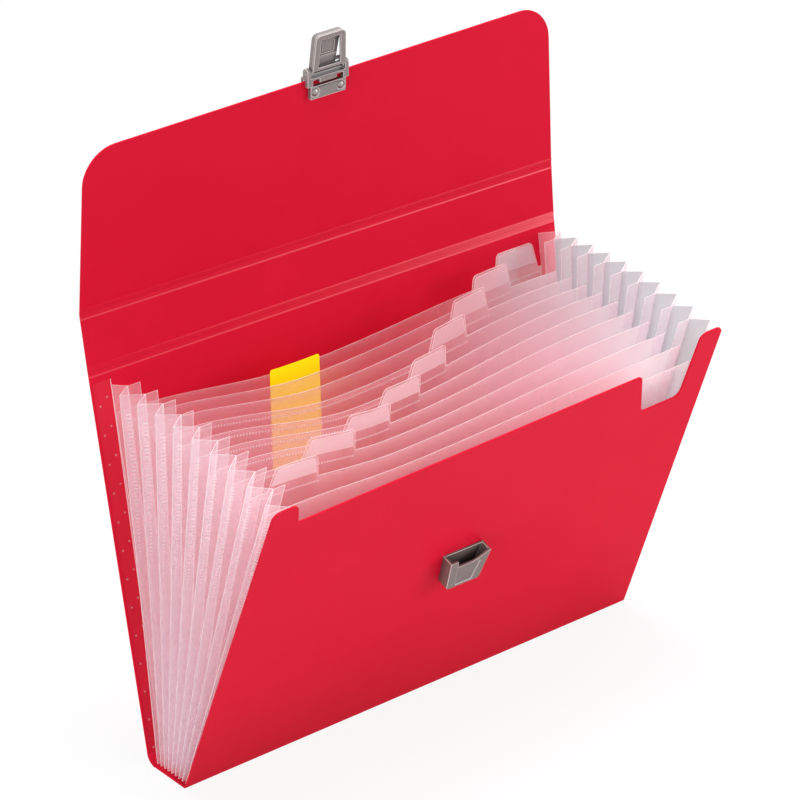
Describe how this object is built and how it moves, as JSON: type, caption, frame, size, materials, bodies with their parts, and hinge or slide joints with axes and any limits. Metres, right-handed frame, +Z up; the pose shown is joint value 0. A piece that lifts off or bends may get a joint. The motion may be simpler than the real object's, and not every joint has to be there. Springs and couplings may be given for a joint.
{
  "type": "expanding file folder",
  "caption": "Plastic accordion file folder standing open on its base, with fanned frosted pockets, index tabs, a fold-over flap and a snap latch.",
  "frame": {"origin": "middle of the base spine's underside", "axes": "+Z up, +X along the width to the right seen from the front, -Y to the front"},
  "size_m": [0.33, 0.163, 0.3886],
  "materials": {
    "case_red": "fine-grained satin polypropylene sheet",
    "frosted_film": "frosted translucent polypropylene film",
    "clear_film": "clear film",
    "yellow_slip": "coloured paper",
    "latch_grey": "moulded grey plastic, satin"
  },
  "bodies": {
    "base": {"base_spine": "case_red", "base_back_crease": "case_red", "base_front_crease": "case_red"},
    "back_cover": {"back_panel": "case_red", "bellows_back_sheet": "frosted_film", "index_sleeve_01": "clear_film", "index_slip": "yellow_slip", "flap_lower_crease": "case_red", "gusset_left_01": "frosted_film", "gusset_right_01": "frosted_film"},
    "front_cover": {"front_panel": "case_red", "bellows_front_sheet": "frosted_film", "catch_housing": "latch_grey", "gusset_left_10": "frosted_film", "gusset_right_10": "frosted_film"},
    "divider_01": {"pocket_divider_01": "frosted_film", "index_sleeve_02": "clear_film", "gusset_left_02": "frosted_film", "gusset_right_02": "frosted_film"},
    "divider_02": {"pocket_divider_02": "frosted_film", "index_sleeve_03": "clear_film", "gusset_left_03": "frosted_film", "gusset_right_03": "frosted_film"},
    "divider_03": {"pocket_divider_03": "frosted_film", "index_sleeve_04": "clear_film", "gusset_left_04": "frosted_film", "gusset_right_04": "frosted_film"},
    "divider_04": {"pocket_divider_04": "frosted_film", "index_sleeve_05": "clear_film", "gusset_left_05": "frosted_film", "gusset_right_05": "frosted_film"},
    "divider_05": {"pocket_divider_05": "frosted_film", "index_sleeve_06": "clear_film", "gusset_left_06": "frosted_film", "gusset_right_06": "frosted_film"},
    "divider_06": {"pocket_divider_06": "frosted_film", "index_sleeve_07": "clear_film"},
    "divider_07": {"pocket_divider_07": "frosted_film", "index_sleeve_08": "clear_film", "gusset_left_07": "frosted_film", "gusset_right_07": "frosted_film"},
    "divider_08": {"pocket_divider_08": "frosted_film", "index_sleeve_09": "clear_film", "gusset_left_08": "frosted_film", "gusset_right_08": "frosted_film"},
    "divider_09": {"pocket_divider_09": "frosted_film", "gusset_left_09": "frosted_film", "gusset_right_09": "frosted_film"},
    "flap_spine": {"flap_spine": "case_red", "flap_upper_crease": "case_red"},
    "flap": {"flap_panel": "case_red", "latch_bracket": "latch_grey", "latch_clamp_plate": "latch_grey", "latch_rivet_left": "latch_grey", "latch_rivet_right": "latch_grey", "latch_pin": "latch_grey"},
    "latch_lever": {"latch_lever": "latch_grey"}
  },
  "joints": [
    {"name": "front_cover_fold", "type": "hinge", "parent": "base", "child": "front_cover", "pos_m": [0, -0.017, 0.0006], "axis": [1, 0, 0], "range_deg": [-26.1, 0], "deforming": ["base_front_crease"]},
    {"name": "back_cover_fold", "type": "hinge", "parent": "base", "child": "back_cover", "pos_m": [0, 0.017, 0.0006], "axis": [1, 0, 0], "range_deg": [0, 10.3], "deforming": ["base_back_crease"]},
    {"name": "flap_spine_fold", "type": "hinge", "parent": "back_cover", "child": "flap_spine", "pos_m": [0, 0.05866, 0.22985], "axis": [1, 0, 0], "range_deg": [0, 84.6], "deforming": ["flap_lower_crease"]},
    {"name": "flap_fold", "type": "hinge", "parent": "flap_spine", "child": "flap", "pos_m": [0, 0.06325, 0.26293], "axis": [1, 0, 0], "range_deg": [0, 79.2], "deforming": ["flap_upper_crease"]},
    {"name": "latch_lever_swing", "type": "hinge", "parent": "flap", "child": "latch_lever", "pos_m": [0, 0.06081, 0.3672], "axis": [1, 0, 0], "range_deg": [-100, 0]},
    {"name": "divider_01_fold", "type": "hinge", "parent": "back_cover", "child": "divider_01", "pos_m": [0, 0.02432, -0.00035], "axis": [1, 0, 0], "range_deg": [-3.64, 0], "deforming": ["gusset_left_01", "gusset_right_01"]},
    {"name": "divider_02_fold", "type": "hinge", "parent": "divider_01", "child": "divider_02", "pos_m": [0, 0.01565, 0.00059], "axis": [1, 0, 0], "range_deg": [-3.64, 0], "deforming": ["gusset_left_02", "gusset_right_02"]},
    {"name": "divider_03_fold", "type": "hinge", "parent": "divider_02", "child": "divider_03", "pos_m": [0, 0.00917, 0.00079], "axis": [1, 0, 0], "range_deg": [-3.64, 0], "deforming": ["gusset_left_03", "gusset_right_03"]},
    {"name": "divider_04_fold", "type": "hinge", "parent": "divider_03", "child": "divider_04", "pos_m": [0, 0.00267, 0.00078], "axis": [1, 0, 0], "range_deg": [-3.64, 0], "deforming": ["gusset_left_04", "gusset_right_04"]},
    {"name": "divider_05_fold", "type": "hinge", "parent": "divider_04", "child": "divider_05", "pos_m": [0, -0.00381, 0.00057], "axis": [1, 0, 0], "range_deg": [-3.64, 0], "deforming": ["gusset_left_05", "gusset_right_05", "gusset_left_06", "gusset_right_06"]},
    {"name": "divider_09_fold", "type": "hinge", "parent": "front_cover", "child": "divider_09", "pos_m": [0, -0.0405, -0.00653], "axis": [1, 0, 0], "range_deg": [0, 3.64], "deforming": ["gusset_left_10", "gusset_right_10"]},
    {"name": "divider_08_fold", "type": "hinge", "parent": "divider_09", "child": "divider_08", "pos_m": [0, -0.02941, -0.00232], "axis": [1, 0, 0], "range_deg": [0, 3.64], "deforming": ["gusset_left_09", "gusset_right_09"]},
    {"name": "divider_07_fold", "type": "hinge", "parent": "divider_08", "child": "divider_07", "pos_m": [0, -0.02309, -0.0013], "axis": [1, 0, 0], "range_deg": [0, 3.64], "deforming": ["gusset_left_08", "gusset_right_08"]},
    {"name": "divider_06_fold", "type": "hinge", "parent": "divider_07", "child": "divider_06", "pos_m": [0, -0.0167, -0.00047], "axis": [1, 0, 0], "range_deg": [0, 3.64], "deforming": ["gusset_left_07", "gusset_right_07"]}
  ],
  "couplings": [
    {"joint": "back_cover_fold", "follows": "front_cover_fold", "ratio": -0.39464},
    {"joint": "flap_spine_fold", "follows": "front_cover_fold", "ratio": -3.2414},
    {"joint": "flap_fold", "follows": "front_cover_fold", "ratio": -3.0345},
    {"joint": "divider_01_fold", "follows": "front_cover_fold", "ratio": 0.13946},
    {"joint": "divider_02_fold", "follows": "front_cover_fold", "ratio": 0.13946},
    {"joint": "divider_03_fold", "follows": "front_cover_fold", "ratio": 0.13946},
    {"joint": "divider_04_fold", "follows": "front_cover_fold", "ratio": 0.13946},
    {"joint": "divider_05_fold", "follows": "front_cover_fold", "ratio": 0.13946},
    {"joint": "divider_09_fold", "follows": "front_cover_fold", "ratio": -0.13946},
    {"joint": "divider_08_fold", "follows": "front_cover_fold", "ratio": -0.13946},
    {"joint": "divider_07_fold", "follows": "front_cover_fold", "ratio": -0.13946},
    {"joint": "divider_06_fold", "follows": "front_cover_fold", "ratio": -0.13946}
  ]
}
